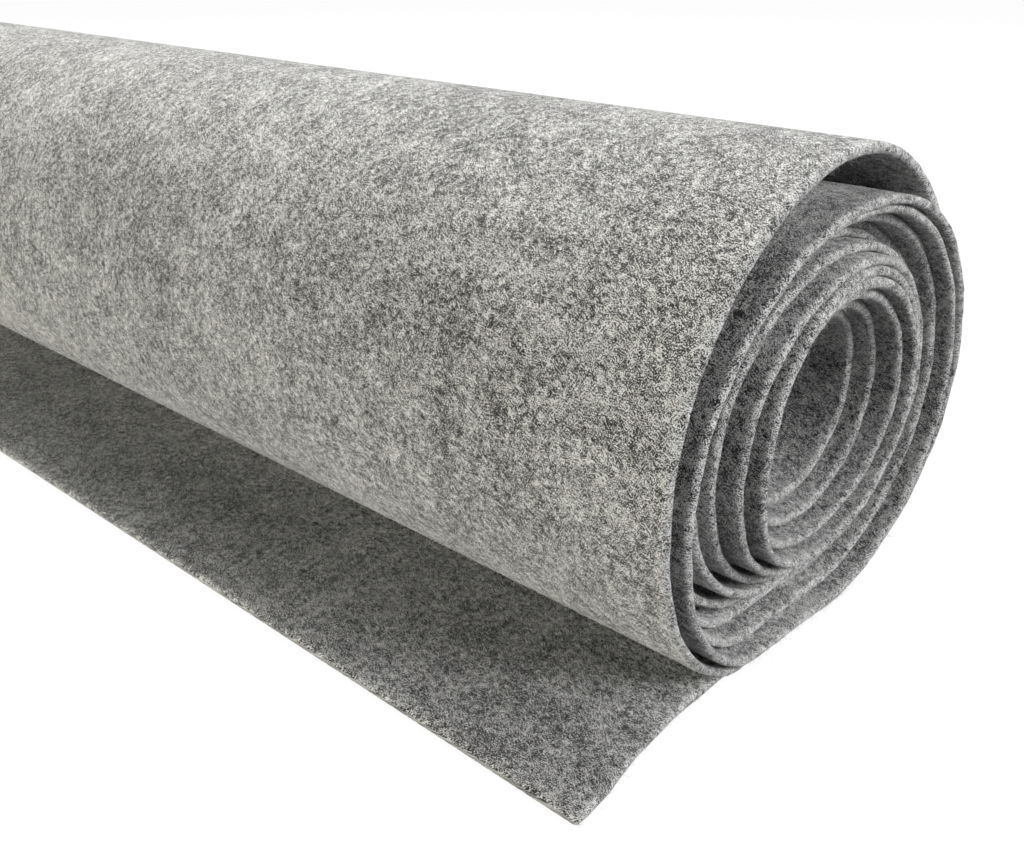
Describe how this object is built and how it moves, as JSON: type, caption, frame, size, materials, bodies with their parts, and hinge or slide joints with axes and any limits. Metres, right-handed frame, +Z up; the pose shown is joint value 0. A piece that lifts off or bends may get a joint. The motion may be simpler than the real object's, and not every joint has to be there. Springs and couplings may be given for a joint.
{
  "type": "roll of felt",
  "caption": "A roll of thick grey marl needle felt lying on its side, loosely wound with staggered cut edges, its loose end run out flat under the roll.",
  "frame": {"origin": "Middle of the rectangle the roll and its loose end cover on the surface they lie on, at the height of that surface.", "axes": "+Y runs along the roll, away from the cut end that the picture shows; +Z is up, away from the surface; +X points from the loose end's front edge toward the roll."},
  "size_m": [0.232, 0.9288, 0.1822],
  "materials": {
    "felt": "matte, fuzzy marl of light and dark grey fibres"
  },
  "bodies": {
    "root": {"felt_roll": "felt"}
  },
  "joints": []
}
